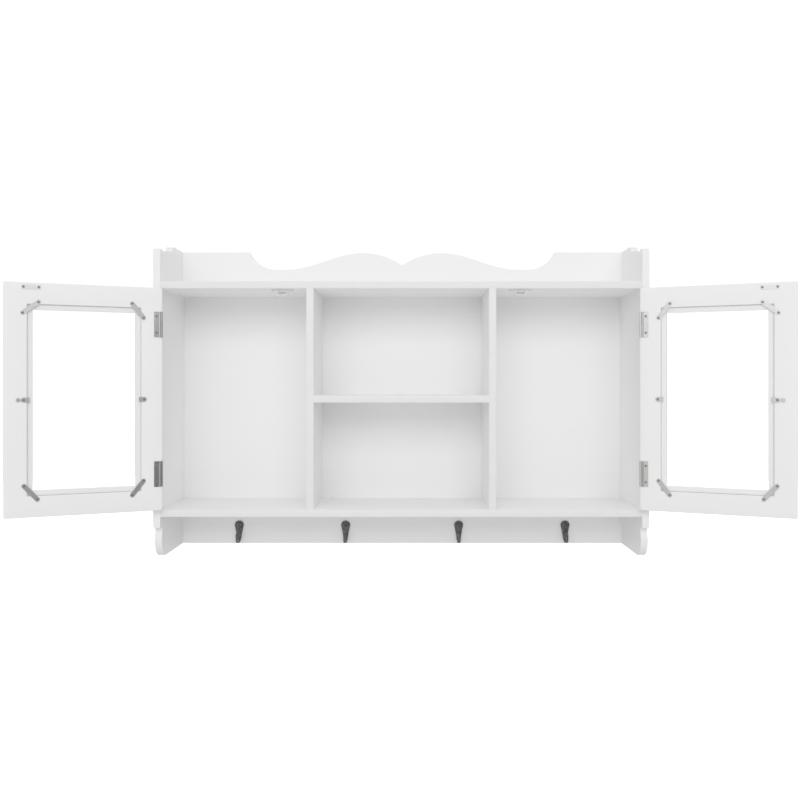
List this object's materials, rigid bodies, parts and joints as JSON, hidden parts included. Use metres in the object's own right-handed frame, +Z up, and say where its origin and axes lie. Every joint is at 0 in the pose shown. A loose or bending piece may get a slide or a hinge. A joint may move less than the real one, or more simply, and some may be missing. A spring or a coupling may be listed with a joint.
{
  "type": "hanging wall cabinet",
  "caption": "White hanging wall cabinet with glazed doors either side of an open shelved centre, a shaped crown board and a rail of coat hooks below.",
  "frame": {"origin": "midway between the head holes of the two wall hangers, on the wall plane", "axes": "+X to the right seen from the front, +Y towards the wall, +Z up"},
  "size_m": [1.5496, 0.3415, 0.67],
  "materials": {
    "white_paint": "satin white paint over fibreboard",
    "back_board": "thin fibreboard, white faced",
    "dowel_beech": "plain beech",
    "glass": "clear float glass",
    "plated_steel": "nickel plated steel",
    "cam_zinc": "die-cast zinc",
    "dark_metal": "dark gunmetal, satin",
    "catch_plastic": "white",
    "magnet": "ferrite, matt"
  },
  "bodies": {
    "carcass": {"left_side_panel": "white_paint", "right_side_panel": "white_paint", "top_panel": "white_paint", "bottom_panel": "white_paint", "left_divider": "white_paint", "right_divider": "white_paint", "middle_shelf": "white_paint", "back_panel": "back_board", "crown_board": "white_paint", "hook_rail": "white_paint", "carcass_dowels": "dowel_beech", "cam_locks": "cam_zinc", "cam_bolts": "cam_zinc", "back_panel_nails": "plated_steel", "wall_hangers": "plated_steel", "hanger_screws": "plated_steel", "coat_hook_1": "dark_metal", "coat_hook_2": "dark_metal", "coat_hook_3": "dark_metal", "coat_hook_4": "dark_metal", "hook_screws": "dark_metal", "left_catch_case": "catch_plastic", "right_catch_case": "catch_plastic", "catch_magnets": "magnet", "catch_pole_plates": "plated_steel", "catch_screws": "plated_steel", "left_upper_frame_leaf": "plated_steel", "left_lower_frame_leaf": "plated_steel", "right_upper_frame_leaf": "plated_steel", "right_lower_frame_leaf": "plated_steel", "hinge_pins": "plated_steel", "frame_leaf_screws": "plated_steel"},
    "left_door": {"left_hinge_stile": "white_paint", "left_knob_stile": "white_paint", "left_top_rail": "white_paint", "left_bottom_rail": "white_paint", "left_frame_dowels": "dowel_beech", "left_glass": "glass", "left_corner_clips": "plated_steel", "left_side_clips": "plated_steel", "left_door_screws": "plated_steel", "left_knob": "dark_metal", "left_knob_screw": "plated_steel", "left_strike_plate": "plated_steel", "left_upper_door_leaf": "plated_steel", "left_lower_door_leaf": "plated_steel"},
    "right_door": {"right_hinge_stile": "white_paint", "right_knob_stile": "white_paint", "right_top_rail": "white_paint", "right_bottom_rail": "white_paint", "right_frame_dowels": "dowel_beech", "right_glass": "glass", "right_corner_clips": "plated_steel", "right_side_clips": "plated_steel", "right_door_screws": "plated_steel", "right_knob": "dark_metal", "right_knob_screw": "plated_steel", "right_strike_plate": "plated_steel", "right_upper_door_leaf": "plated_steel", "right_lower_door_leaf": "plated_steel"}
  },
  "joints": [
    {"name": "left_door_swing", "type": "hinge", "parent": "carcass", "child": "left_door", "pos_m": [-0.502, -0.203, -0.291], "axis": [0, 0, 1], "range_deg": [-24, 156]},
    {"name": "right_door_swing", "type": "hinge", "parent": "carcass", "child": "right_door", "pos_m": [0.502, -0.203, -0.291], "axis": [0, 0, -1], "range_deg": [-24, 156]}
  ]
}
